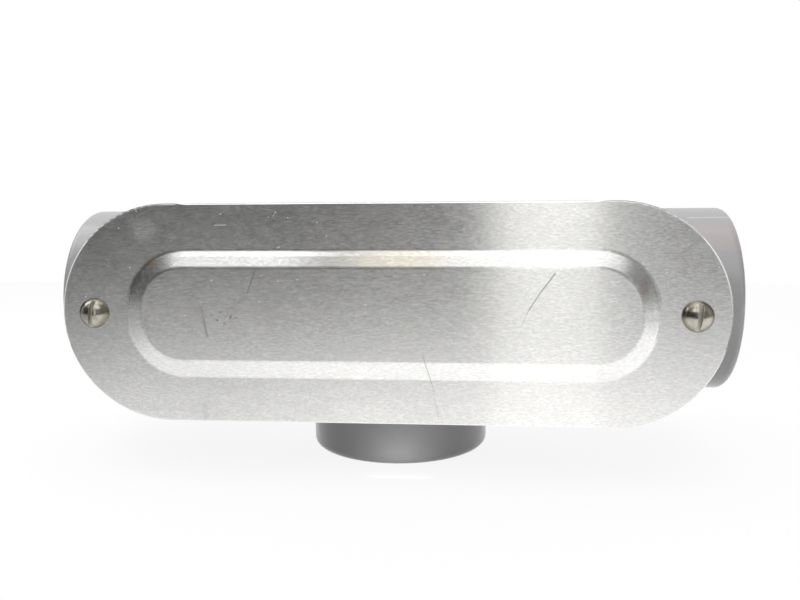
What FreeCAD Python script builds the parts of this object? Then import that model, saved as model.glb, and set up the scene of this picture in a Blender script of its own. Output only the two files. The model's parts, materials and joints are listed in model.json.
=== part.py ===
import FreeCAD, Part
import math
import os
import re

import Sketcher

# A 2-inch T conduit body: a cast trough with three threaded hubs, closed by a stamped cover.
# Millimetres. +Z is up and the part stands on its branch hub, whose mouth is centred on the
# origin. The run hubs lie along X, the cover faces -Y, and the run axis is straight above
# the branch hub.

# ---------------------------------------------------------------- driving dimensions

SIZES = [
    # hubs, all three alike
    ("thread_diameter", 60.2, "root of the hub's pipe thread, two-inch conduit"),
    ("thread_depth", 24.0, "mouth to bushing"),
    ("hub_wall", 4.9, "outside the thread root"),
    ("bushing_height", 3.85, "thread root to the conduit's own bore"),
    ("bushing_length", 3.5, "thickness of the bushing"),
    ("bushing_round", 1.4, "lips that spare the wires"),
    ("mouth_round", 2.8, "outer edge of each hub mouth"),
    # casting
    ("run_length", 250.0, "mouth to mouth of the two run hubs"),
    ("hub_projection", 9.7, "run hub mouth beyond the cover's end"),
    ("cavity_ease", 0.4, "round bottom's radius beyond the thread root"),
    ("branch_shoulder", 1.0, "branch bushing to the lowest line of the trough"),
    ("back_wall", 3.5, "wall behind the round bottom and round the branch"),
    ("rim_land", 5.75, "machined rim that carries the cover"),
    ("rim_rise", 13.5, "rim in front of the hubs' front"),
    ("collar_slope", 2.0, "length of the slope where a hub's collar ends"),
    ("cast_round", 3.0, "blend where trough, hubs and branch meet"),
    ("boss_wall", 2.7, "round the screw hole"),
    ("tip_room", 2.4, "blind hole beyond the screw's tip"),
    # gasket
    ("gasket_thickness", 1.5, "flat ring under the cover"),
    ("gasket_tab", 9.0, "screw centre to the end of the gasket's window"),
    # cover
    ("cover_overhang", 2.2, "cover's edge outside the rim's edge"),
    ("cover_thickness", 1.6, "sheet"),
    ("cover_edge", 0.5, "die roll along the cover's front edge"),
    ("panel_end_margin", 23.6, "cover's end to the raised panel's foot"),
    ("panel_side_margin", 16.3, "cover's side to the raised panel's foot"),
    ("panel_flat", 3.4, "straight part of the panel's short sides"),
    ("panel_bevel", 5.7, "width of the sloping border"),
    ("panel_height", 2.3, "how far the panel stands out"),
    ("panel_bend", 3.0, "bend radius in front, at the border's foot and top"),
    # screws
    ("screw_inset", 11.5, "screw centre from the cover's end"),
    ("screw_diameter", 5.48, "number 12 machine screw, outside its thread"),
    ("screw_length", 12.7, "under the head"),
    ("screw_tip", 0.7, "chamfer at the end"),
    ("screw_play", 0.06, "radial play in the boss"),
    ("cover_play", 0.4, "radial play in cover and gasket"),
    ("head_diameter", 10.4, "slotted round head"),
    ("head_height", 3.7, "apex above the cover"),
    ("head_edge", 0.7, "straight side of the head"),
    ("slot_width", 1.5, "driver slot"),
    ("slot_depth", 2.2, "driver slot"),
    ("slot_tilt_left", 8.0, "left slot's top leans outwards, degrees"),
    ("slot_tilt_right", 7.0, "right slot's top leans outwards, degrees"),
]

# sizes that follow from them, as expressions
THREAD_RADIUS = "(thread_diameter/2)"
THROAT_RADIUS = f"({THREAD_RADIUS} - bushing_height)"
HUB_RADIUS = f"({THREAD_RADIUS} + hub_wall)"
CAVITY_RADIUS = f"({THREAD_RADIUS} + cavity_ease)"
BARREL_RADIUS = f"({CAVITY_RADIUS} + back_wall)"
BRANCH_RADIUS = f"({THREAD_RADIUS} + back_wall)"
RIM_RADIUS = f"({CAVITY_RADIUS} + rim_land)"
COVER_RADIUS = f"({RIM_RADIUS} + cover_overhang)"
MOUTH_X = "(run_length/2)"
COVER_END_X = f"({MOUTH_X} - hub_projection)"
ROUND_END_X = f"({COVER_END_X} - {COVER_RADIUS})"
CAVITY_END_X = f"({MOUTH_X} - thread_depth - bushing_length)"
SCREW_X = f"({COVER_END_X} - screw_inset)"
RIM_DEPTH = f"({HUB_RADIUS} + rim_rise)"
RUN_HEIGHT = f"(thread_depth + bushing_length + branch_shoulder + {CAVITY_RADIUS})"
BOSS_HOLE_RADIUS = "(screw_diameter/2 + screw_play)"
PLATE_HOLE_RADIUS = "(screw_diameter/2 + cover_play)"

doc = FreeCAD.newDocument("conduit_body")
sheet = doc.addObject("Spreadsheet::Sheet", "Sizes")
for row, (alias, number, note) in enumerate(SIZES, start=1):
    sheet.set("A%d" % row, alias)
    sheet.set("B%d" % row, str(number))
    sheet.setAlias("B%d" % row, alias)
    sheet.set("C%d" % row, note)
doc.recompute()


# ---------------------------------------------------------------- helpers

def bind(text):
    """The expression with each size name pointed at the sheet."""
    return re.sub(r"\b[a-z]+(?:_[a-z]+)+\b", r"Sizes.\g<0>", text)


def value(text):
    """The expression's present value."""
    return float(sheet.evalExpression(bind(text)))


def new_body(label, y="0"):
    """A body whose own origin lies on the run axis, or y in front of or behind it."""
    body = doc.addObject("PartDesign::Body", label)
    body.Label = label
    body.setExpression("Placement.Base.y", bind(y))
    body.setExpression("Placement.Base.z", bind(RUN_HEIGHT))
    return body


def new_sketch(body, name, role, offset="0"):
    """A sketch on one of the body's origin planes, moved along the plane's normal."""
    sketch = body.newObject("Sketcher::SketchObject", name)
    plane = next(item for item in body.Origin.OriginFeatures if item.Role == role)
    sketch.AttachmentSupport = [(plane, "")]
    sketch.MapMode = "FlatFace"
    sketch.setExpression("AttachmentOffset.Base.z", bind(offset))
    return sketch


def rule(sketch, kind, *where):
    """One constraint without a size."""
    sketch.addConstraint(Sketcher.Constraint(kind, *where))


def dimension(sketch, text, kind, *where):
    """One constraint bound to an expression."""
    index = sketch.addConstraint(Sketcher.Constraint(kind, *where, value(text)))
    sketch.setExpression("Constraints[%d]" % index, bind(text))


def hold_point(sketch, item, end, x, y):
    """Ties one end of a line or arc, or a centre, to a place given by two expressions."""
    for kind, axis, text in (("DistanceX", -2, x), ("DistanceY", -1, y)):
        if text == "0":
            rule(sketch, "PointOnObject", item, end, axis)
        else:
            dimension(sketch, text, kind, -1, 1, item, end)


def closed_path(sketch, points):
    """Straight lines through the points, back to the first."""
    corners = [FreeCAD.Vector(value(x), value(y), 0) for x, y in points]
    for index, corner in enumerate(corners):
        sketch.addGeometry(Part.LineSegment(corner, corners[(index + 1) % len(corners)]))
    for index, (x, y) in enumerate(points):
        rule(sketch, "Coincident", index - 1 if index else len(points) - 1, 2, index, 1)
        hold_point(sketch, index, 1, x, y)


def arc(sketch, x, y, radius, start, end):
    """An arc by its centre, radius and angles in degrees, turning left."""
    whole = Part.Circle(FreeCAD.Vector(x, y, 0), FreeCAD.Vector(0, 0, 1), radius)
    return sketch.addGeometry(Part.ArcOfCircle(whole, math.radians(start), math.radians(end)))


def line_between(sketch, this, after):
    """A straight line from the end of one arc to the start of the next."""
    return sketch.addGeometry(Part.LineSegment(sketch.getPoint(this, 2), sketch.getPoint(after, 1)))


def circle_pair(sketch, radius):
    """Two equal circles at the cover screws' places."""
    for side in ("-", ""):
        x = side + SCREW_X
        centre = FreeCAD.Vector(value(x), 0, 0)
        item = sketch.addGeometry(Part.Circle(centre, FreeCAD.Vector(0, 0, 1), value(radius)))
        hold_point(sketch, item, 3, x, "0")
        dimension(sketch, radius, "Radius", item)


def mirrored(half):
    """The points, then their mirror images from the last back to the first."""
    return half + [("-" + x, y) for x, y in reversed(half)]


def rounded_oblong(sketch, half_x, half_y, radius):
    """A rectangle about the origin with four equal rounded corners."""
    r = value(radius)
    a = value(half_x) - r
    b = value(half_y) - r
    centres = [(a, b), (-a, b), (-a, -b), (a, -b)]
    arcs = [arc(sketch, x, y, r, 90 * quarter, 90 * quarter + 90) for quarter, (x, y) in enumerate(centres)]
    for quarter, this in enumerate(arcs):
        after = arcs[(quarter + 1) % 4]
        line = line_between(sketch, this, after)
        rule(sketch, "Tangent", this, 2, line, 1)
        rule(sketch, "Tangent", line, 2, after, 1)
        rule(sketch, "Vertical" if quarter % 2 else "Horizontal", line)
        if quarter:
            rule(sketch, "Equal", arcs[0], this)
    rule(sketch, "Symmetric", arcs[0], 3, arcs[2], 3, -1, 1)
    dimension(sketch, radius, "Radius", arcs[0])
    dimension(sketch, "%s - %s" % (half_x, radius), "DistanceX", -1, 1, arcs[0], 3)
    dimension(sketch, "%s - %s" % (half_y, radius), "DistanceY", -1, 1, arcs[0], 3)


def obround(sketch, centre_x, radius):
    """Two half circles centred on the X axis, joined by straight lines."""
    x = value(centre_x)
    r = value(radius)
    right = arc(sketch, x, 0, r, -90, 90)
    left = arc(sketch, -x, 0, r, 90, 270)
    for this, after in ((right, left), (left, right)):
        line = line_between(sketch, this, after)
        rule(sketch, "Tangent", this, 2, line, 1)
        rule(sketch, "Tangent", line, 2, after, 1)
    rule(sketch, "Symmetric", right, 3, left, 3, -1, 1)
    rule(sketch, "PointOnObject", right, 3, -1)
    dimension(sketch, radius, "Radius", right)
    dimension(sketch, centre_x, "DistanceX", -1, 1, right, 3)


def squared_obround(sketch, centre_x, radius, end_x):
    """An obround whose ends are cut off square at end_x."""
    x = value(centre_x)
    r = value(radius)
    lean = math.degrees(math.acos((value(end_x) - x) / r))
    arcs = [arc(sketch, x, 0, r, lean, 90), arc(sketch, -x, 0, r, 90, 180 - lean),
            arc(sketch, -x, 0, r, 180 + lean, 270), arc(sketch, x, 0, r, 270, 360 - lean)]
    for quarter, this in enumerate(arcs):
        after = arcs[(quarter + 1) % 4]
        line = line_between(sketch, this, after)
        if quarter % 2:
            rule(sketch, "Coincident", this, 2, line, 1)
            rule(sketch, "Coincident", line, 2, after, 1)
            rule(sketch, "Vertical", line)
            side = "-" if quarter == 1 else ""
            dimension(sketch, side + end_x, "DistanceX", -1, 1, line, 1)
        else:
            rule(sketch, "Tangent", this, 2, line, 1)
            rule(sketch, "Tangent", line, 2, after, 1)
        if quarter:
            rule(sketch, "Equal", arcs[0], this)
        side = "-" if quarter in (1, 2) else ""
        hold_point(sketch, this, 3, side + centre_x, "0")
    dimension(sketch, radius, "Radius", arcs[0])


def extrude(body, kind, name, sketch, length, backwards=False):
    """A pad or a pocket of the sketch."""
    feature = body.newObject("PartDesign::" + kind, name)
    feature.Profile = sketch
    feature.setExpression("Length", bind(length))
    feature.Reversed = backwards
    doc.recompute()
    return feature


def turn(body, kind, name, sketch, axis):
    """A revolution or a groove of the sketch, all the way round one of its axes."""
    feature = body.newObject("PartDesign::" + kind, name)
    feature.Profile = sketch
    feature.ReferenceAxis = (sketch, [axis])
    feature.Angle = 360
    doc.recompute()
    return feature


def loft(body, kind, name, near, far):
    """A straight-sided loft between two sketches."""
    feature = body.newObject("PartDesign::" + kind, name)
    feature.Profile = near
    feature.Sections = [far]
    feature.Ruled = True
    doc.recompute()
    return feature


def fillet(body, name, radius, wanted):
    """Rounds the edges of the body's last feature for which wanted(edge) holds."""
    base = body.Tip
    edges = ["Edge%d" % number for number, edge in enumerate(base.Shape.Edges, start=1) if wanted(edge)]
    if not edges:
        raise ValueError("no edge found for " + name)
    feature = body.newObject("PartDesign::Fillet", name)
    feature.Base = (base, edges)
    feature.setExpression("Radius", bind(radius))
    doc.recompute()
    return feature


SLACK = 1e-4      # two places closer than this are the same


def same(first, second):
    return abs(first - second) < SLACK


def is_circle(edge, radius):
    return isinstance(edge.Curve, Part.Circle) and same(edge.Curve.Radius, value(radius))


def lies_at(edge, axis, place):
    """True if the whole edge has this coordinate (axis 0, 1 or 2) in its body's own frame."""
    return all(same(point[axis], place) for point in edge.discretize(5))


# ---------------------------------------------------------------- casting

def build_casting():
    body = new_body("body_casting")

    # trough walls, drafted so that they run tangent into the round back
    draft = f"(acos({BARREL_RADIUS}/sqrt({RIM_RADIUS}^2 + {RIM_DEPTH}^2)) - atan({RIM_DEPTH}/{RIM_RADIUS}))"
    rim = new_sketch(body, "RimOutline", "XZ_Plane", RIM_DEPTH)
    obround(rim, ROUND_END_X, RIM_RADIUS)
    root = new_sketch(body, "RootOutline", "XZ_Plane", f"-{BARREL_RADIUS}*sin({draft})")
    obround(root, ROUND_END_X, f"({BARREL_RADIUS}*cos({draft}))")
    loft(body, "AdditiveLoft", "TroughWalls", rim, root)

    # round back and the two run hubs, whose collars reach to the trough's straight part
    barrel = new_sketch(body, "RunBarrelProfile", "XY_Plane")
    half = [
        (MOUTH_X, "0"),
        (MOUTH_X, HUB_RADIUS),
        (f"({ROUND_END_X} - collar_slope)", HUB_RADIUS),
        (f"({ROUND_END_X} - 2*collar_slope)", BARREL_RADIUS),
    ]
    closed_path(barrel, mirrored(half))
    turn(body, "Revolution", "RunBarrel", barrel, "H_Axis")

    # branch hub and its barrel, up to the run axis; its collar ends short of the blend
    collar_top = f"(-{RIM_RADIUS} - cast_round - collar_slope)"
    branch = new_sketch(body, "BranchBarrelProfile", "XZ_Plane")
    closed_path(branch, [
        ("0", f"-{RUN_HEIGHT}"),
        (HUB_RADIUS, f"-{RUN_HEIGHT}"),
        (HUB_RADIUS, collar_top),
        (BRANCH_RADIUS, f"({collar_top} + collar_slope)"),
        (BRANCH_RADIUS, "0"),
        ("0", "0"),
    ])
    turn(body, "Revolution", "BranchBarrel", branch, "V_Axis")

    # the curved seams where walls, hubs and branch meet
    fillet(body, "CastBlends", "cast_round",
           lambda edge: isinstance(edge.Curve, (Part.BSplineCurve, Part.Ellipse)))

    # the opening that the cover closes, down to the floors above the run hubs
    opening = new_sketch(body, "OpeningOutline", "XZ_Plane", RIM_DEPTH)
    obround(opening, ROUND_END_X, CAVITY_RADIUS)
    extrude(body, "Pocket", "Opening", opening, "rim_rise")

    # the trough between the end walls, down to the run axis
    trough = new_sketch(body, "TroughOutline", "XZ_Plane", RIM_DEPTH)
    squared_obround(trough, ROUND_END_X, CAVITY_RADIUS, CAVITY_END_X)
    extrude(body, "Pocket", "Trough", trough, RIM_DEPTH)

    # round bottom, throats and thread bores along the run
    run_bore = new_sketch(body, "RunBoreProfile", "XY_Plane")
    half = [
        (MOUTH_X, "0"),
        (MOUTH_X, THREAD_RADIUS),
        (f"({MOUTH_X} - thread_depth)", THREAD_RADIUS),
        (f"({MOUTH_X} - thread_depth)", THROAT_RADIUS),
        (CAVITY_END_X, THROAT_RADIUS),
        (CAVITY_END_X, CAVITY_RADIUS),
    ]
    closed_path(run_bore, mirrored(half))
    turn(body, "Groove", "RunBore", run_bore, "H_Axis")

    # thread bore, throat and passage along the branch
    throat_low = f"(-{RUN_HEIGHT} + thread_depth)"
    throat_high = f"({throat_low} + bushing_length)"
    branch_bore = new_sketch(body, "BranchBoreProfile", "XZ_Plane")
    closed_path(branch_bore, [
        ("0", f"-{RUN_HEIGHT}"),
        (THREAD_RADIUS, f"-{RUN_HEIGHT}"),
        (THREAD_RADIUS, throat_low),
        (THROAT_RADIUS, throat_low),
        (THROAT_RADIUS, throat_high),
        (THREAD_RADIUS, throat_high),
        (THREAD_RADIUS, "0"),
        ("0", "0"),
    ])
    turn(body, "Groove", "BranchBore", branch_bore, "V_Axis")

    # screw bosses with blind holes
    bosses = new_sketch(body, "BossOutline", "XZ_Plane", RIM_DEPTH)
    circle_pair(bosses, f"({BOSS_HOLE_RADIUS} + boss_wall)")
    extrude(body, "Pad", "Bosses", bosses, "rim_rise", backwards=True)
    holes = new_sketch(body, "BossHoles", "XZ_Plane", RIM_DEPTH)
    circle_pair(holes, BOSS_HOLE_RADIUS)
    extrude(body, "Pocket", "ScrewHoles", holes,
            "screw_length - cover_thickness - gasket_thickness + tip_room")

    # rounded bushing lips and hub mouths
    fillet(body, "BushingLips", "min(bushing_round, 0.45*bushing_length)",
           lambda edge: is_circle(edge, THROAT_RADIUS))
    mouth = value(MOUTH_X)
    fillet(body, "HubMouths", "mouth_round", lambda edge: is_circle(edge, HUB_RADIUS) and (
        lies_at(edge, 0, mouth) or lies_at(edge, 0, -mouth) or lies_at(edge, 2, -value(RUN_HEIGHT))))
    return body


# ---------------------------------------------------------------- gasket

def build_gasket():
    body = new_body("cover_gasket", f"-{RIM_DEPTH}")
    outline = new_sketch(body, "GasketOutline", "XZ_Plane")
    obround(outline, ROUND_END_X, RIM_RADIUS)
    obround(outline, f"({SCREW_X} - gasket_tab - {CAVITY_RADIUS})", CAVITY_RADIUS)
    circle_pair(outline, PLATE_HOLE_RADIUS)
    extrude(body, "Pad", "Ring", outline, "gasket_thickness")
    return body


# ---------------------------------------------------------------- cover

def panel_outline(body, name, offset, set_in):
    """The raised panel's outline on a plane in front of the cover's back, made smaller by set_in."""
    half_x = f"({COVER_END_X} - panel_end_margin - {set_in})"
    half_y = f"({COVER_RADIUS} - panel_side_margin - {set_in})"
    sketch = new_sketch(body, name, "XZ_Plane", offset)
    rounded_oblong(sketch, half_x, half_y, f"({half_y} - panel_flat/2)")
    return sketch


def build_cover():
    body = new_body("cover_plate", f"-{RIM_DEPTH} - gasket_thickness")

    outline = new_sketch(body, "CoverOutline", "XZ_Plane")
    obround(outline, ROUND_END_X, COVER_RADIUS)
    extrude(body, "Pad", "Sheet", outline, "cover_thickness")

    # the pressed panel stands out in front, and the sheet keeps its thickness behind
    face = "(cover_thickness + panel_height)"
    behind = "(cover_thickness*tan(atan(panel_height/panel_bevel)/2))"
    foot = panel_outline(body, "PanelFoot", "cover_thickness", "0")
    top = panel_outline(body, "PanelTop", face, "panel_bevel")
    loft(body, "AdditiveLoft", "Panel", foot, top)
    mouth = panel_outline(body, "RecessMouth", "0", behind)
    floor = panel_outline(body, "RecessFloor", "panel_height", f"(panel_bevel + {behind})")
    loft(body, "SubtractiveLoft", "Recess", mouth, floor)

    # bends at the foot and the top of the border, in front and behind
    reach_x = value(f"{COVER_END_X} - panel_end_margin") + SLACK
    reach_z = value(f"{COVER_RADIUS} - panel_side_margin") + SLACK

    def on_panel(edge, depth):
        box = edge.BoundBox
        inside = max(-box.XMin, box.XMax) < reach_x and max(-box.ZMin, box.ZMax) < reach_z
        return inside and lies_at(edge, 1, -value(depth))

    fillet(body, "BendsInFront", "panel_bend",
           lambda edge: on_panel(edge, "cover_thickness") or on_panel(edge, face))
    fillet(body, "FootBendBehind", "panel_bend + cover_thickness", lambda edge: on_panel(edge, "0"))
    fillet(body, "TopBendBehind", "max(panel_bend - cover_thickness, 0.2*panel_bend)",
           lambda edge: on_panel(edge, "panel_height"))

    # the die roll round the front edge
    front = -value("cover_thickness")
    fillet(body, "DieRoll", "min(cover_edge, 0.45*cover_thickness)",
           lambda edge: lies_at(edge, 1, front) and not on_panel(edge, "cover_thickness"))

    holes = new_sketch(body, "CoverHoles", "XZ_Plane")
    circle_pair(holes, PLATE_HOLE_RADIUS)
    extrude(body, "Pocket", "ScrewHoles", holes, "cover_thickness", backwards=True)
    return body


# ---------------------------------------------------------------- screws

def build_screw(label, side, tilt):
    """A slotted round-head screw; its slot leans outwards by the tilt."""
    body = new_body(label, f"-{RIM_DEPTH} - gasket_thickness - cover_thickness")
    body.setExpression("Placement.Base.x", bind(side + SCREW_X))

    profile = new_sketch(body, label + "_profile", "XY_Plane")
    dome_rise = "(head_height - head_edge)"
    dome_radius = f"((head_diameter/2)^2 + {dome_rise}^2)/(2*{dome_rise})"
    corners = [
        ("head_diameter/2", "-head_edge"),
        ("head_diameter/2", "0"),
        ("screw_diameter/2", "0"),
        ("screw_diameter/2", "screw_length - screw_tip"),
        ("screw_diameter/2 - screw_tip", "screw_length"),
        ("0", "screw_length"),
        ("0", "-head_height"),
    ]
    points = [FreeCAD.Vector(value(x), value(y), 0) for x, y in corners]
    for before, after in zip(points, points[1:]):
        profile.addGeometry(Part.LineSegment(before, after))
    for index in range(len(points) - 2):
        rule(profile, "Coincident", index, 2, index + 1, 1)
    for index, (x, y) in enumerate(corners[:-1]):
        hold_point(profile, index, 1, x, y)
    last = len(points) - 2
    hold_point(profile, last, 2, *corners[-1])
    centre_y = value(dome_radius) - value("head_height")
    edge_angle = math.degrees(math.atan2(points[0].y - centre_y, points[0].x))
    dome = arc(profile, 0, centre_y, value(dome_radius), -90, edge_angle)
    rule(profile, "Coincident", dome, 1, last, 2)
    rule(profile, "Coincident", dome, 2, 0, 1)
    rule(profile, "PointOnObject", dome, 3, -2)
    turn(body, "Revolution", label + "_turned", profile, "V_Axis")

    slot = new_sketch(body, label + "_slot_outline", "XZ_Plane", "head_height")
    lean = math.copysign(value(tilt), -1 if side else 1)
    slot.AttachmentOffset = FreeCAD.Placement(
        slot.AttachmentOffset.Base, FreeCAD.Rotation(FreeCAD.Vector(0, 0, 1), -lean))
    closed_path(slot, [
        ("slot_width/2", "head_diameter/2"),
        ("-slot_width/2", "head_diameter/2"),
        ("-slot_width/2", "-head_diameter/2"),
        ("slot_width/2", "-head_diameter/2"),
    ])
    extrude(body, "Pocket", label + "_slot", slot, "slot_depth")
    return body


# ---------------------------------------------------------------- build, check and write

parts = [
    build_casting(),
    build_gasket(),
    build_cover(),
    build_screw("cover_screw_left", "-", "slot_tilt_left"),
    build_screw("cover_screw_right", "", "slot_tilt_right"),
]
doc.recompute()

failed = [item.Name for item in doc.Objects if {"Invalid", "Error"} & set(item.State)]
if failed:
    raise RuntimeError("failed: " + ", ".join(failed))
for part in parts:
    shape = part.Shape
    if shape.isNull() or not shape.isValid() or len(shape.Solids) != 1:
        raise RuntimeError("not one good solid: " + part.Label)

os.makedirs("parts", exist_ok=True)
for part in parts:
    part.Shape.exportStep("parts/%s.step" % part.Label)
    print("%s: %.1f mm3" % (part.Label, part.Shape.Volume))
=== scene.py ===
"""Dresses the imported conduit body: paint, rolled aluminium, pipe threads and slotted screws.

It also makes the floor, the room, the lamps and the camera. Lengths are in metres.
"""
import json
import math

import bmesh
import bpy
from mathutils import Matrix, Vector


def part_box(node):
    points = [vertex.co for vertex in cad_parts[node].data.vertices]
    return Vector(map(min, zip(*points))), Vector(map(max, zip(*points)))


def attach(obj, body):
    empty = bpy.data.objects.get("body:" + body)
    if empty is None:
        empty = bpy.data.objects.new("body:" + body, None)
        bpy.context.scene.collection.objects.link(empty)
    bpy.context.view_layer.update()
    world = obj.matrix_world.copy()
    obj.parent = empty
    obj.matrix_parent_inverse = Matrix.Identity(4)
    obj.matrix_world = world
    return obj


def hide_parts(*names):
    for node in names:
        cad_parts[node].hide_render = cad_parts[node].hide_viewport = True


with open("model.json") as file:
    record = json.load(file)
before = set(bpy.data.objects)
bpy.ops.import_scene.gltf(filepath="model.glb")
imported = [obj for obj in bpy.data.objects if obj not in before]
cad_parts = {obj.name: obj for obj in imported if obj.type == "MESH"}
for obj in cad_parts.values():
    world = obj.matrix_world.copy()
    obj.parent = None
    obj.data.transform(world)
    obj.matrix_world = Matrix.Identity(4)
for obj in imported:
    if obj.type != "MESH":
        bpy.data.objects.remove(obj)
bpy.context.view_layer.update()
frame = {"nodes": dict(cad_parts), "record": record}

MM = 0.001
TAU = 2 * math.pi


# ----------------------------------------------------------------------- sizes

SHEET = 1.6 * MM                            # thickness of the cover
SCREW_THREAD_RADIUS = 2.74 * MM             # outside of the cover screws' threads
PIPE_PITCH = 25.4 / 11.5 * MM               # 11.5 threads to the inch
SCREW_PITCH = 25.4 / 24 * MM                # 24 threads to the inch

# A thread's section in shares of its pitch: the root flat's end, the crest flat, a flank's width.
ROOT_END, CREST_START, CREST_END, FLANK = 0.06, 0.5, 0.56, 0.44

mounts = {mount["name"]: mount for mount in frame["record"]["mounts"]}
RUN_Z = mounts["run_hub_right"]["pos_m"][2]
MOUTH_X = mounts["run_hub_right"]["pos_m"][0]
CASTING_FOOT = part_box("body_casting")[0].z
cover_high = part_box("cover_plate")[1]
COVER_FACE_Y = cover_high.y - SHEET         # front of the cover's flange
COVER_RADIUS = cover_high.z - RUN_Z         # of the cover's round ends
SCREW_X = (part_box("cover_screw_right")[0].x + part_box("cover_screw_right")[1].x) / 2


# ---------------------------------------------------------------- node helpers

class Graph:
    """A material's or world's nodes, made by short calls that return output sockets."""

    def __init__(self, owner):
        owner.use_nodes = True
        self.tree = owner.node_tree
        self.tree.nodes.clear()

    def node(self, kind, **settings):
        made = self.tree.nodes.new(kind)
        for name, setting in settings.items():
            setattr(made, name, setting)
        return made

    def feed(self, socket, source):
        """Links a socket to source, or sets it where source is a value. None leaves it as it is."""
        if isinstance(source, bpy.types.NodeSocket):
            self.tree.links.new(source, socket)
        elif source is not None:
            if socket.type == "RGBA" and len(source) == 3:
                source = (*source, 1.0)
            socket.default_value = source

    def math(self, operation, a, b=None):
        made = self.node("ShaderNodeMath", operation=operation)
        self.feed(made.inputs[0], a)
        self.feed(made.inputs[1], b)
        return made.outputs[0]

    def add(self, a, b):
        return self.math("ADD", a, b)

    def times(self, a, b):
        return self.math("MULTIPLY", a, b)

    def larger(self, a, b):
        return self.math("MAXIMUM", a, b)

    def span(self, a, b):
        """The length of a line that runs a one way and b square to it."""
        return self.math("SQRT", self.add(self.times(a, a), self.times(b, b)))

    def ramp(self, source, start, end, low=0.0, high=1.0):
        """low before start, high after end, and a smooth change between them."""
        made = self.node("ShaderNodeMapRange", interpolation_type="SMOOTHSTEP")
        for socket, given in zip(made.inputs, (source, start, end, low, high)):
            self.feed(socket, given)
        return made.outputs[0]

    def band(self, source, start, end, soft):
        """1 between start and end, fading to 0 within soft outside them."""
        rise = self.ramp(source, start - soft, start)
        fall = self.ramp(source, end, end + soft, 1.0, 0.0)
        return self.times(rise, fall)

    def mix(self, factor, a, b):
        made = self.node("ShaderNodeMix", data_type="RGBA")
        self.feed(made.inputs["Factor"], factor)
        self.feed(made.inputs[6], a)
        self.feed(made.inputs[7], b)
        return made.outputs[2]

    def place(self, scale=(1, 1, 1), turn=(0, 0, 0)):
        """The point on the object, stretched and turned, in metres where the scale is 1."""
        point = self.node("ShaderNodeTexCoord").outputs["Object"]
        made = self.node("ShaderNodeMapping", vector_type="POINT")
        self.feed(made.inputs["Vector"], point)
        made.inputs["Rotation"].default_value = turn
        made.inputs["Scale"].default_value = scale
        return made.outputs[0]

    def axes(self):
        """The object's x, y and z at the point, in metres."""
        made = self.node("ShaderNodeSeparateXYZ")
        self.feed(made.inputs[0], self.node("ShaderNodeTexCoord").outputs["Object"])
        return made.outputs

    def noise(self, where, scale, detail, roughness=0.5):
        made = self.node("ShaderNodeTexNoise")
        self.feed(made.inputs["Vector"], where)
        made.inputs["Scale"].default_value = scale
        made.inputs["Detail"].default_value = detail
        made.inputs["Roughness"].default_value = roughness
        return made.outputs["Fac"]

    def flecks(self, scale, size, share):
        """Small round spots on the cover's plane, in a share of the cells of a random pattern."""
        made = self.node("ShaderNodeTexVoronoi", feature="F1", voronoi_dimensions="2D")
        self.feed(made.inputs["Vector"], self.place(turn=(math.pi / 2, 0, 0)))
        made.inputs["Scale"].default_value = scale
        pick = self.node("ShaderNodeSeparateColor")
        self.feed(pick.inputs[0], made.outputs["Color"])
        chosen = self.ramp(pick.outputs[0], 1 - share - 0.01, 1 - share)
        return self.times(self.ramp(made.outputs["Distance"], size * 0.4, size, 1.0, 0.0), chosen)

    def brushed(self, normal, spread, aside, lean):
        """Tilts a normal up and down at random, as grooves along X too fine to see would do.

        It also tilts it along X by aside and up by lean.
        """
        grooves = self.noise(self.place((9000, 60000, 60000)), 1.0, 1)
        tilt = self.node("ShaderNodeCombineXYZ")
        self.feed(tilt.inputs[0], aside)
        self.feed(tilt.inputs[2], self.add(self.times(self.add(grooves, -0.5), spread), lean))
        leaned = self.node("ShaderNodeVectorMath", operation="ADD")
        self.feed(leaned.inputs[0], normal)
        self.feed(leaned.inputs[1], tilt.outputs[0])
        unit = self.node("ShaderNodeVectorMath", operation="NORMALIZE")
        self.feed(unit.inputs[0], leaned.outputs[0])
        return unit.outputs[0]

    def bump(self, height, depth, onto=None):
        """Raises the surface by height times depth, on top of the normal onto."""
        made = self.node("ShaderNodeBump")
        made.inputs["Strength"].default_value = 1.0
        made.inputs["Distance"].default_value = depth
        self.feed(made.inputs["Height"], height)
        if onto is not None:
            self.feed(made.inputs["Normal"], onto)
        return made.outputs[0]

    def principled(self, **inputs):
        made = self.node("ShaderNodeBsdfPrincipled")
        for name, source in inputs.items():
            self.feed(made.inputs[name.replace("_", " ")], source)
        self.feed(self.node("ShaderNodeOutputMaterial").inputs["Surface"], made.outputs[0])
        return made

    def blend(self, factor, first, second, output):
        """Feeds an output node with a mix of two shader nodes, all second where factor is 1."""
        mixed = self.node("ShaderNodeMixShader")
        self.feed(mixed.inputs[0], factor)
        self.feed(mixed.inputs[1], first.outputs[0])
        self.feed(mixed.inputs[2], second.outputs[0])
        self.feed(self.node(output).inputs["Surface"], mixed.outputs[0])


def new_material(name):
    made = bpy.data.materials.new(name)
    return made, Graph(made)


def dress(node, material):
    for slot in frame["nodes"][node].material_slots:
        slot.material = material


# ------------------------------------------------------------------- materials

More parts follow.
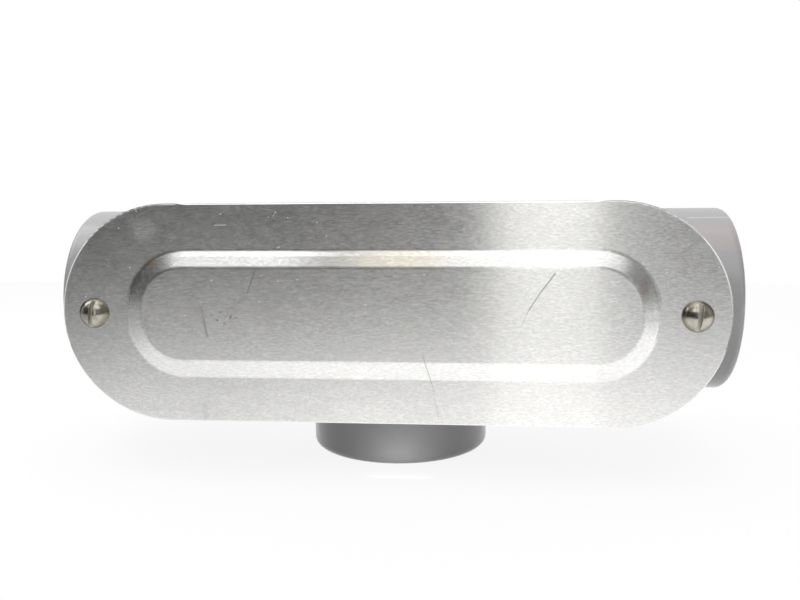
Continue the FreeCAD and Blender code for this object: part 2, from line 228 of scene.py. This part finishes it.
def cast_paint():
    """Light grey semi-gloss paint over a sand casting, rubbed at the hub mouths.

    The right hub's front also has a painted highlight, a thin pale line, with a faint pinkish band
    of painted reflection below it.
    """
    darker, lighter = (0.375, 0.377, 0.382), (0.415, 0.415, 0.423)
    specks, rubbed = (0.33, 0.335, 0.34), (0.235, 0.245, 0.225)
    pink_reflection, pale_highlight = (0.46, 0.375, 0.355), (0.62, 0.61, 0.59)

    made, g = new_material("cast_paint")
    x, y, z = g.axes()
    cloud = g.noise(g.place(), 38, 4)
    speck = g.noise(g.place(), 900, 2)
    colour = g.mix(g.ramp(cloud, 0.3, 0.7), darker, lighter)
    colour = g.mix(g.ramp(speck, 0.66, 0.74), colour, specks)

    run_mouth = g.ramp(g.math("ABSOLUTE", x), MOUTH_X - 1.9 * MM, MOUTH_X - 0.5 * MM)
    branch_mouth = g.ramp(z, 0.4 * MM, 1.6 * MM, 1.0, 0.0)
    mouth = g.larger(run_mouth, branch_mouth)
    rub = g.times(mouth, g.ramp(g.noise(g.place(), 260, 3), 0.35, 0.6, 0.35, 0.7))
    colour = g.mix(rub, colour, rubbed)

    # Painted reflection on the right hub's front: a faint pinkish band, standing in for what the
    # glossy paint mirrors there.
    front_right = g.times(g.ramp(x, 107 * MM, 110 * MM), g.ramp(y, -1 * MM, 0.0, 1.0, 0.0))
    painted_reflection_band = g.times(g.band(z, RUN_Z + 22 * MM, RUN_Z + 28.5 * MM, 2.5 * MM), front_right)
    colour = g.mix(g.times(painted_reflection_band, 0.35), colour, pink_reflection)
    # Painted highlight: a thin pale line across the right hub's front. It is a painted reflection
    # of a light edge, not a seam in the casting.
    painted_highlight_line = g.times(g.band(z, RUN_Z + 31.6 * MM, RUN_Z + 31.8 * MM, 0.18 * MM), front_right)
    colour = g.mix(g.times(painted_highlight_line, 0.6), colour, pale_highlight)

    grit = g.noise(g.place(), 1500, 3, 0.6)
    peel = g.noise(g.place(), 420, 2, 0.5)
    relief = g.bump(peel, 0.05 * MM, g.bump(grit, 0.02 * MM))
    rough = g.ramp(cloud, 0.25, 0.75, 0.30, 0.42)
    g.principled(Base_Color=colour, Roughness=rough, Specular_IOR_Level=0.5, Coat_Weight=0.35,
                 Coat_Roughness=0.12, Normal=relief)
    return made


def segment(g, start, end, half_width, soft):
    """1 on a straight mark between two points of the cover's plane, in mm from its middle."""
    x, _, z = g.axes()
    ax, az = start[0] * MM, start[1] * MM + RUN_Z
    dx, dz = (end[0] - start[0]) * MM, (end[1] - start[1]) * MM
    square = dx * dx + dz * dz
    px, pz = g.add(x, -ax), g.add(z, -az)
    along = g.add(g.times(px, dx / square), g.times(pz, dz / square))
    along = g.larger(g.math("MINIMUM", along, 1.0), 0.0)
    off_x = g.add(px, g.times(along, -dx))
    off_z = g.add(pz, g.times(along, -dz))
    away = g.span(off_x, off_z)
    return g.ramp(away, half_width * MM, (half_width + soft) * MM, 1.0, 0.0)


def spot(g, centre, half_x, half_z):
    """A soft oval mark on the cover's plane, in mm from its middle, 1 at its centre."""
    x, _, z = g.axes()
    off_x = g.times(g.add(x, -centre[0] * MM), 1 / (half_x * MM))
    off_z = g.times(g.add(z, -centre[1] * MM - RUN_Z), 1 / (half_z * MM))
    return g.ramp(g.span(off_x, off_z), 0.2, 1.0, 1.0, 0.0)


def joined(g, marks):
    total = marks[0]
    for mark in marks[1:]:
        total = g.larger(total, mark)
    return total


# Marks on the cover: start, end, half width and soft edge in mm from its middle, then strength.
DARK_SCRATCHES = (
    ((-64.2, 3), (-62.5, -7.2), 0.16, 0.60, 0.55),
    ((56.7, 14.5), (52.1, 8.3), 0.06, 0.22, 0.65),
    ((52.1, 8.3), (48.0, 1.9), 0.05, 0.20, 0.55),
    ((48.0, 1.9), (45.9, -3.0), 0.04, 0.18, 0.22),
    ((12.5, -13), (15.6, -23.8), 0.05, 0.18, 0.5),
    ((15.6, -23.8), (18, -36.5), 0.03, 0.16, 0.28),
)
STAINS = (
    ((-44.9, 15), (-47.7, 7.7), 0.05, 0.35, 0.30),
    ((-65, -33), (-64.6, -37), 0.3, 1.4, 0.12),
)
BRIGHT_SCRATCHES = (
    ((-59, 30.9), (-55, 31), 0.04, 0.2, 0.55),
    ((-38.5, 34), (-37.4, 35.6), 0.05, 0.25, 0.35),
    ((-37.4, 23), (-36.6, 23.4), 0.06, 0.2, 0.5),
    ((75, 5), (77, 5.4), 0.05, 0.2, 0.5),
    ((-88, -22), (-88, -33), 0.10, 0.3, 0.35),
)


def segments(g, marks):
    return [g.times(segment(g, *shape), strength) for *shape, strength in marks]


def edge_lean(g):
    """How far the cover's normals lean along X and up, to round its rim and its panel's foot."""
    top_lean, foot_lean, end_lean = 0.75, 0.12, -1.1

    x, y, z = g.axes()
    straight = g.ramp(g.math("ABSOLUTE", x), 66 * MM, 76 * MM, 1.0, 0.0)
    rolled = g.ramp(z, cover_high.z - 0.75 * MM, cover_high.z - 0.15 * MM)
    rolled = g.times(rolled, top_lean)
    foot = g.band(y, COVER_FACE_Y - 0.75 * MM, COVER_FACE_Y - 0.10 * MM, 0.06 * MM)
    foot = g.times(foot, g.ramp(z, RUN_Z - 1 * MM, RUN_Z + 1 * MM, -foot_lean, foot_lean))

    from_end = g.larger(g.add(g.math("ABSOLUTE", x), COVER_RADIUS - cover_high.x), 0.0)
    up = g.add(z, -RUN_Z)
    reach = g.span(from_end, up)
    edge = g.ramp(reach, COVER_RADIUS - 0.7 * MM, COVER_RADIUS - 0.1 * MM)
    curved = g.times(edge, g.ramp(straight, 0.0, 1.0, end_lean, 0.0))
    curved = g.times(curved, g.ramp(up, -22 * MM, -6 * MM))
    curved = g.math("DIVIDE", curved, g.add(reach, 1e-6))
    aside = g.times(g.times(curved, from_end), g.math("SIGN", x))
    return aside, g.add(g.times(curved, up), g.times(straight, g.add(rolled, foot)))


def rolled_aluminium():
    """Bare rolled sheet: grain along the cover, faint mottling, scratches, scuffs and stains."""
    dull, clean = (0.855, 0.853, 0.838), (0.955, 0.95, 0.932)
    clouded, grained, mottled = (0.78, 0.775, 0.765), (0.71, 0.705, 0.69), (0.77, 0.765, 0.755)
    dirt, scraped = (0.23, 0.22, 0.21), (0.97, 0.97, 0.96)
    amber, brownish = (0.80, 0.62, 0.34), (0.55, 0.38, 0.33)

    made, g = new_material("rolled_aluminium")
    dashes = g.noise(g.place((110, 640, 640)), 3.0, 4, 0.65)
    mottle = g.noise(g.place((1, 1, 1.3)), 170, 3, 0.6)
    grain = g.noise(g.place((650, 2000, 2000)), 1.0, 2, 0.6)
    cloud = g.noise(g.place((1, 1, 1.6)), 26, 4, 0.55)
    colour = g.mix(g.ramp(dashes, 0.3, 0.7), dull, clean)
    colour = g.mix(g.ramp(cloud, 0.35, 0.8, 0.0, 0.35), colour, clouded)
    colour = g.mix(g.ramp(grain, 0.3, 0.7, 0.0, 0.7), colour, grained)
    colour = g.mix(g.ramp(mottle, 0.45, 0.75, 0.0, 0.25), colour, mottled)

    dark = segments(g, DARK_SCRATCHES)
    stained = segments(g, STAINS)
    pitted = spot(g, (-56.5, -0.8), 7.0, 4.0)
    stained.append(g.times(pitted, g.times(g.flecks(430, 0.19, 0.8), 0.8)))
    stained.append(g.times(g.flecks(150, 0.035, 0.16), 0.4))
    colour = g.mix(joined(g, dark + stained), colour, dirt)
    bright = joined(g, segments(g, BRIGHT_SCRATCHES) + [g.times(g.flecks(300, 0.08, 0.05), 0.7)])
    colour = g.mix(bright, colour, scraped)
    colour = g.mix(g.times(spot(g, (-82, 18), 3.5, 3.0), 0.45), colour, amber)
    colour = g.mix(g.times(spot(g, (86, 10), 2.6, 5.0), 0.40), colour, brownish)

    worn = joined(g, dark)
    rough = g.ramp(dashes, 0.25, 0.75, 0.145, 0.19)
    rough = g.add(rough, g.times(cloud, 0.035))
    rough = g.add(rough, g.ramp(mottle, 0.35, 0.75, 0.0, 0.03))
    rough = g.add(rough, g.times(g.larger(worn, bright), 0.25))
    rough = g.add(rough, g.times(spot(g, (-84.5, 30), 7.5, 6.5), 0.05))
    relief = g.bump(dashes, 0.0025 * MM)
    relief = g.bump(worn, -0.02 * MM, relief)
    relief = g.brushed(relief, 0.55, *edge_lean(g))
    shader = g.principled(Base_Color=colour, Metallic=1.0, Roughness=rough, Anisotropic=0.96,
                          Normal=relief)
    tangent = g.node("ShaderNodeTangent", direction_type="RADIAL", axis="X")
    g.feed(shader.inputs["Tangent"], tangent.outputs[0])
    return made


def machined_aluminium():
    """Bare cut metal of the pipe threads, roughened in fine spots."""
    made, g = new_material("machined_aluminium")
    cloud = g.noise(g.place(), 60, 3)
    chatter = g.noise(g.place(), 2400, 2)
    colour = g.mix(cloud, (0.50, 0.50, 0.49), (0.66, 0.655, 0.64))
    g.principled(Base_Color=colour, Metallic=1.0, Roughness=g.ramp(chatter, 0.3, 0.7, 0.26, 0.42),
                 Normal=g.bump(chatter, 0.015 * MM))
    return made


def nickel_plate():
    """Plated steel with a warm tint, and a darker olive rim round the screw's head."""
    tarnished, plated = (0.40, 0.37, 0.32), (0.53, 0.505, 0.45)
    hazy, olive = (0.36, 0.335, 0.28), (0.20, 0.185, 0.135)

    made, g = new_material("nickel_plate")
    cloud = g.noise(g.place(), 420, 3)
    haze = g.noise(g.place(), 1900, 2)
    colour = g.mix(g.ramp(cloud, 0.35, 0.7), tarnished, plated)
    colour = g.mix(g.ramp(haze, 0.62, 0.74, 0.0, 0.6), colour, hazy)
    x, _, z = g.axes()
    across = g.add(g.math("ABSOLUTE", x), -SCREW_X)
    up = g.add(z, -RUN_Z)
    away = g.span(across, up)
    colour = g.mix(g.ramp(away, 3.3 * MM, 4.8 * MM, 0.0, 0.75), colour, olive)
    g.principled(Base_Color=colour, Metallic=1.0, Roughness=g.ramp(haze, 0.3, 0.7, 0.14, 0.26),
                 Normal=g.bump(cloud, 0.03 * MM))
    return made


def slot_grime_and_shade():
    """Dull plating down in a screw's slot, partly grime and partly painted shade of the recess."""
    made, g = new_material("slot_grime_and_shade")
    cloud = g.noise(g.place(), 900, 3)
    colour = g.mix(cloud, (0.49, 0.465, 0.42), (0.68, 0.66, 0.60))
    g.principled(Base_Color=colour, Metallic=0.8, Roughness=g.ramp(cloud, 0.3, 0.7, 0.34, 0.5))
    return made


def gasket_rubber():
    """Dark neoprene with a faint cloth-like bloom."""
    made, g = new_material("gasket_rubber")
    cloud = g.noise(g.place(), 90, 3)
    grain = g.noise(g.place(), 1800, 2)
    colour = g.mix(cloud, (0.030, 0.030, 0.031), (0.060, 0.060, 0.060))
    g.principled(Base_Color=colour, Roughness=g.ramp(grain, 0.3, 0.7, 0.6, 0.8),
                 Normal=g.bump(grain, 0.03 * MM))
    return made


# ----------------------------------------------------------------------- forms

def link_mesh(name, bm, material, smooth_under=35.0):
    """Links a mesh object made from bm, smooth where faces meet at less than so many degrees."""
    mesh = bpy.data.meshes.new(name)
    bmesh.ops.recalc_face_normals(bm, faces=bm.faces)
    bm.to_mesh(mesh)
    bm.free()
    made = bpy.data.objects.new(name, mesh)
    bpy.context.scene.collection.objects.link(made)
    mesh.materials.append(material)
    mesh.polygons.foreach_set("use_smooth", [True] * len(mesh.polygons))
    mesh.set_sharp_from_angle(angle=math.radians(smooth_under))
    return made


def helix_rows(bm, length, pitch, columns, radius_at):
    """A threaded tube wall along +Z from 0 to length.

    Its grid leans with the thread, and is cut square at both ends.
    """
    turns = math.ceil(length / pitch) + 1
    rows = []
    for turn in range(-1, turns + 1):
        for flat in (0.0, ROOT_END, CREST_START, CREST_END):
            row = []
            for column in range(columns + 1):
                lean = column / columns
                z = min(max((turn + flat + lean) * pitch, 0.0), length)
                angle = lean * TAU
                radius = radius_at(z, (z / pitch - lean) % 1.0)
                row.append(bm.verts.new((radius * math.cos(angle), radius * math.sin(angle), z)))
            rows.append(row)
    for low, high in zip(rows, rows[1:]):
        for a, b, c, d in zip(low, low[1:], high[1:], high):
            bm.faces.new((a, b, c, d))
    bmesh.ops.remove_doubles(bm, verts=bm.verts, dist=1e-7)
    flattened = [face for face in bm.faces if face.calc_area() < 1e-12]
    bmesh.ops.delete(bm, geom=flattened, context="FACES")


def profile(phase):
    """Height of a thread at a share of its pitch, 0 on the root flat and 1 on the crest flat."""
    if phase < ROOT_END:
        return 0.0
    if phase < CREST_START:
        return (phase - ROOT_END) / FLANK
    if phase < CREST_END:
        return 1.0
    return (1.0 - phase) / FLANK


def eased(share):
    """A smooth change from 0 to 1."""
    share = min(max(share, 0.0), 1.0)
    return share * share * (3 - 2 * share)


def end_loops(bm):
    """The open ends of a tube wall, the low one first."""
    edges = [edge for edge in bm.edges if edge.is_boundary]
    low = [edge for edge in edges if max(vert.co.z for vert in edge.verts) < 1e-6]
    high = [edge for edge in edges if edge not in low]
    return low, high


def pipe_thread(name, mount, material):
    """The tapped thread of a hub: a closed sleeve that lines the bore, its mouth eased."""
    bore = mount["dims"]["r_mm"] * MM
    length = mount["dims"]["length_mm"] * MM - 0.15 * MM
    height = 0.8 * PIPE_PITCH
    skin = 0.06 * MM                        # how far the sleeve sinks into the casting
    setback_mm = 0.08                       # from the hub's face
    taper_share = 0.15                      # of the height, lost at the mouth

    def radius_at(z, phase):
        entry = eased((z - 0.3 * MM) / (1.6 * PIPE_PITCH))
        runout = eased((length - z) / (0.8 * PIPE_PITCH))
        taper = 1.0 - taper_share * (1 - z / length)
        return bore - skin - height * taper * profile(phase) * entry * runout

    bm = bmesh.new()
    helix_rows(bm, length, PIPE_PITCH, 144, radius_at)
    for edges, z in zip(end_loops(bm), (0.0, length)):
        grown = bmesh.ops.extrude_edge_only(bm, edges=edges)["geom"]
        for vert in (item for item in grown if isinstance(item, bmesh.types.BMVert)):
            flat = Vector((vert.co.x, vert.co.y, 0)).normalized() * (bore + skin)
            vert.co = (flat.x, flat.y, z)
    open_edges = [edge for edge in bm.edges if edge.is_boundary]
    bmesh.ops.bridge_loops(bm, edges=open_edges)
    sleeve = link_mesh(name, bm, material, 28.0)
    inward = -Vector(mount["axis"])
    turn = inward.to_track_quat("Z", "Y").to_matrix().to_4x4()
    place = Vector(mount["pos_m"]) + inward * setback_mm * MM
    sleeve.data.transform(Matrix.Translation(place) @ turn)
    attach(sleeve, "housing")


def slotted_head(name, head_radius, dome, material, grime_and_shade):
    """The mesh of a round screw head, dome metres high on +Z, with a slot cut along Y."""
    edge_rise = 0.7 * MM                    # what the dome's arc falls short of its height
    chamfer = 0.12 * MM                     # under the head's edge
    steps = 16                              # along the dome's arc
    slot_width, slot_depth = 1.5 * MM, 2.2 * MM

    bm = bmesh.new()
    sphere = (head_radius ** 2 + (dome - edge_rise) ** 2) / (2 * (dome - edge_rise))
    sweep = math.asin(min(head_radius / sphere, 1.0))
    outline = [(0.0, 0.0), (head_radius - chamfer, 0.0), (head_radius, chamfer)]
    for step in range(steps + 1):
        angle = sweep * (1 - step / steps)
        outline.append((sphere * math.sin(angle), dome - sphere + sphere * math.cos(angle)))
    verts = [bm.verts.new((radius, 0, z)) for radius, z in outline]
    for a, b in zip(verts, verts[1:]):
        bm.edges.new((a, b))
    bmesh.ops.spin(bm, geom=bm.verts[:] + bm.edges[:], cent=(0, 0, 0), axis=(0, 0, 1), angle=TAU,
                   steps=72, use_merge=True)
    bmesh.ops.remove_doubles(bm, verts=bm.verts, dist=1e-6)
    head = link_mesh(name + "_head", bm, material)

    bm = bmesh.new()
    bmesh.ops.create_cube(bm, size=1.0)
    bmesh.ops.scale(bm, vec=(slot_width, 4 * head_radius, 2 * slot_depth), verts=bm.verts)
    bmesh.ops.translate(bm, vec=(0, 0, dome), verts=bm.verts)
    cutter = link_mesh(name + "_cutter", bm, grime_and_shade)
    # The slot's faces take the cutter's material, which is partly grime and partly painted shade of
    # the slot.
    cut = head.modifiers.new("slot", "BOOLEAN")
    cut.material_mode = "TRANSFER"
    cut.object, cut.operation, cut.solver = cutter, "DIFFERENCE", "EXACT"
    soften = head.modifiers.new("edges", "BEVEL")
    soften.width, soften.segments, soften.limit_method = 0.10 * MM, 2, "ANGLE"
    soften.angle_limit = math.radians(40)
    evaluated = head.evaluated_get(bpy.context.evaluated_depsgraph_get())
    finished = bpy.data.meshes.new_from_object(evaluated)
    bpy.data.objects.remove(head)
    bpy.data.objects.remove(cutter)
    return finished


def cover_screw(name, node, body, lean, material, grime_and_shade):
    """A round-head machine screw along -Y, its slot leaning by so many degrees.

    It has a slotted dome, then a rolled thread to a bevelled tip.
    """
    low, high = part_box(node)
    centre = (low + high) / 2
    seat = COVER_FACE_Y
    length = high.y - seat
    height = 0.6 * SCREW_PITCH
    bevel = 0.9 * MM                        # at the tip

    head = slotted_head(name, (high.x - low.x) / 2, seat - low.y, material, grime_and_shade)

    def radius_at(z, phase):
        entry = eased((z - 0.4 * MM) / (1.2 * SCREW_PITCH))
        tip = max(0.0, z - (length - bevel))
        return min(SCREW_THREAD_RADIUS - height * entry * (1.0 - profile(phase)),
                   SCREW_THREAD_RADIUS - tip)

    bm = bmesh.new()
    helix_rows(bm, length, SCREW_PITCH, 56, radius_at)
    for edges in end_loops(bm):
        bmesh.ops.contextual_create(bm, geom=edges)
    bmesh.ops.scale(bm, vec=(1, 1, -1), verts=bm.verts)
    bm.from_mesh(head)
    screw = link_mesh(name, bm, material, 32.0)
    screw.data.materials.append(grime_and_shade)
    turn = Matrix.Rotation(math.radians(lean), 4, "Y") @ Matrix.Rotation(math.radians(90), 4, "X")
    screw.data.transform(Matrix.Translation((centre.x, seat, centre.z)) @ turn)
    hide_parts(node)
    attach(screw, body)


# ----------------------------------------------------------------------- build

dress("body_casting", cast_paint())
dress("cover_plate", rolled_aluminium())
dress("cover_gasket", gasket_rubber())

thread_metal = machined_aluminium()
for mount_name in ("run_hub_left", "run_hub_right", "branch_hub"):
    pipe_thread(mount_name + "_thread", mounts[mount_name], thread_metal)

plating = nickel_plate()
# The slots' material is duller plating, partly grime and partly painted shade.
slot_metal = slot_grime_and_shade()
cover_screw("cover_screw_left_detail", "cover_screw_left", "screw_left", 8, plating, slot_metal)
cover_screw("cover_screw_right_detail", "cover_screw_right", "screw_right", 7, plating, slot_metal)


# ---------------------------------------------------------------------- studio

def make_floor():
    """Pale table paper that keeps the object's shadow.

    It glows white to the camera, and at a graded level in mirrors. To diffuse rays it is darker,
    so it throws less light back, and it is dark at the camera's feet.
    """
    width, depth, middle_y = 1.6, 1.1, 0.06
    gap = 0.0002                            # under the casting
    glow_share = 0.88                       # the rest is paper, which takes the shadow
    paper_dark, paper_light = (0.87, 0.87, 0.87), (0.91, 0.91, 0.91)
    dimmed, foreground = (0.20, 0.20, 0.21), (0.20, 0.20, 0.20)

    bm = bmesh.new()
    bmesh.ops.create_grid(bm, x_segments=1, y_segments=1, size=0.5)
    bmesh.ops.scale(bm, vec=(width, depth, 1), verts=bm.verts)
    bmesh.ops.translate(bm, vec=(0.0, middle_y, CASTING_FOOT - gap), verts=bm.verts)
    made, g = new_material("table_paper")
    x, y, _ = g.axes()
    ray = g.node("ShaderNodeLightPath").outputs
    paper = g.node("ShaderNodeBsdfDiffuse")
    grain = g.noise(g.place(), 300, 3)
    near = g.ramp(y, -0.44, -0.12)          # 0 at the camera's feet, 1 by the object
    white = g.mix(grain, paper_dark, paper_light)
    white = g.mix(g.times(ray["Is Diffuse Ray"], 0.55), white, dimmed)
    g.feed(paper.inputs["Color"], g.mix(near, foreground, white))

    glow = g.node("ShaderNodeEmission")
    slope = g.math("DIVIDE", g.add(x, -0.03), g.add(g.times(y, -1.0), 0.22))
    level = g.add(g.ramp(x, -0.25, -0.11, 0.50, 1.0), g.ramp(x, -0.11, 0.0, 0.0, 0.25))
    level = g.add(level, g.times(g.band(slope, 0.03, 0.155, 0.012), 0.12))
    change_in_mirrors = g.times(ray["Is Glossy Ray"], g.add(level, -1.0))
    g.feed(glow.inputs["Strength"], g.add(1.01, change_in_mirrors))
    mirrored = g.times(ray["Is Glossy Ray"], near)
    glowing = g.times(g.larger(ray["Is Camera Ray"], mirrored), glow_share)
    g.blend(glowing, paper, glow, "ShaderNodeOutputMaterial")
    link_mesh("table", bm, made)


def make_world():
    """A soft white room, laid out for what the cover mirrors. The camera sees it as plain white.

    In front it has a dark wall with a narrow window, and above them a bright ceiling with a dark
    gap and a warm lamp. Its sides are dim. Directions are in degrees.
    """
    ceiling_white, sides_grey = (1.52, 1.52, 1.52), (0.42, 0.42, 0.42)
    gap_dark, lamp_warm, window_white = (0.22, 0.19, 0.19), (1.25, 1.16, 0.90), (1.19, 1.19, 1.175)

    world = bpy.data.worlds.new("room")
    bpy.context.scene.world = world
    g = Graph(world)
    toward = g.node("ShaderNodeSeparateXYZ")
    g.feed(toward.inputs[0], g.node("ShaderNodeTexCoord").outputs["Generated"])
    x, y, z = toward.outputs
    front = g.times(y, -1.0)
    azimuth = g.math("ARCTAN2", x, front)              # 0 straight in front, positive to the right
    height = g.math("ARCTAN2", z, g.span(x, y))        # 0 at the horizon

    def change(angle, start, end, low=0.0, high=1.0):
        return g.ramp(angle, math.radians(start), math.radians(end), low, high)

    def within(angle, start, end, soft):
        return g.band(angle, math.radians(start), math.radians(end), math.radians(soft))

    side = g.ramp(x, -1.0, 1.0, 1.08, 0.92)
    room = g.times(g.times(change(height, -10, 60, 0.80, 1.02), side), 0.95)
    ahead = within(azimuth, -70, 58, 20)
    room = g.mix(g.times(ahead, within(height, 36, 78, 5)), room, ceiling_white)
    sides = g.add(change(azimuth, -50, -32, 1.0, 0.0), change(azimuth, 36, 50))
    sides = g.times(sides, within(azimuth, -115, 105, 12))
    room = g.mix(g.times(sides, within(height, -10, 76, 6)), room, sides_grey)
    gap = g.times(within(azimuth, -14.8, -12.4, 1.3), within(height, 34, 80, 5))
    room = g.mix(gap, room, gap_dark)
    lamp = g.times(within(azimuth, -10, -4.5, 1.5), within(height, 34, 80, 5))
    room = g.mix(g.times(lamp, 0.8), room, lamp_warm)

    shade = change(azimuth, -30, -16, -0.035, 0.0)     # the dark wall's level, from left to right
    for step in ((-16, 0, 0.100, 0.185), (8, 9.5, 0.0, 0.30), (10, 16, 0.0, -0.22)):
        shade = g.add(shade, change(azimuth, *step))
    room = g.mix(g.times(ahead, within(height, -70, 27, 7)), room, shade)
    window = g.times(change(azimuth, -1.0, 3.4), change(azimuth, 8.8, 9.1, 1.0, 0.0))
    window = g.times(window, within(height, -30, 40, 4))
    room = g.mix(window, room, window_white)

    light = g.node("ShaderNodeBackground")
    g.feed(light.inputs["Color"], room)
    white = g.node("ShaderNodeBackground")
    white.inputs["Color"].default_value = (1, 1, 1, 1)
    white.inputs["Strength"].default_value = 1.0
    seen = g.node("ShaderNodeLightPath").outputs["Is Camera Ray"]
    g.blend(seen, light, white, "ShaderNodeOutputWorld")


def area_lamp(name, where, aim, size, power, colour=(1, 1, 1), in_mirrors=True):
    """A rectangular lamp that the camera does not see, and that may show in mirrors."""
    data = bpy.data.lights.new(name, "AREA")
    data.shape, data.size, data.size_y, data.energy = "RECTANGLE", size[0], size[1], power
    data.color = colour
    made = bpy.data.objects.new(name, data)
    made.location = where
    made.rotation_euler = (Vector(aim) - Vector(where)).to_track_quat("-Z", "Y").to_euler()
    made.visible_camera = False
    made.visible_glossy = in_mirrors
    bpy.context.scene.collection.objects.link(made)


make_floor()
make_world()
area_lamp("overhead", (0.0, -0.05, 0.85), (0, 0, RUN_Z), (0.9, 0.5), 1.55)
area_lamp("left_fill", (-0.42, 0.02, 0.42), (-0.11, 0, RUN_Z), (0.3, 0.3), 0.7)
area_lamp("right_fill", (0.25, -0.14, 0.17), (0.12, -0.01, RUN_Z), (0.12, 0.12), 0.085,
          colour=(1.0, 0.965, 0.925), in_mirrors=False)
area_lamp("table_bounce", (0.0035, -0.049, 0.0012), (0.0035, -0.039, 0.0082), (0.022, 0.002),
          0.0012, in_mirrors=False)


# ---------------------------------------------------------------------- camera

CAMERA_PLACE = (0.02995, -0.3243, 0.0992)
CAMERA_TURN, CAMERA_DIP = 5.26, 7.28         # degrees, to the left and down
CAMERA_ROLL = -0.44                          # degrees, counter-clockwise
SENSOR_WIDTH, FOCAL_LENGTH = 36.0, 36.42     # mm


def make_camera():
    data = bpy.data.cameras.new("camera")
    data.sensor_width = SENSOR_WIDTH
    data.lens = FOCAL_LENGTH
    data.clip_start = 0.01
    made = bpy.data.objects.new("camera", data)
    made.location = CAMERA_PLACE
    turn, dip, roll = (math.radians(angle) for angle in (CAMERA_TURN, CAMERA_DIP, CAMERA_ROLL))
    aim = Vector((-math.sin(turn) * math.cos(dip), math.cos(turn) * math.cos(dip), -math.sin(dip)))
    level = aim.to_track_quat("-Z", "Y").to_matrix().to_4x4()
    made.rotation_euler = (level @ Matrix.Rotation(roll, 4, "Z")).to_euler()
    bpy.context.scene.collection.objects.link(made)
    bpy.context.scene.camera = made


make_camera()
bpy.context.scene.view_settings.view_transform = "Standard"
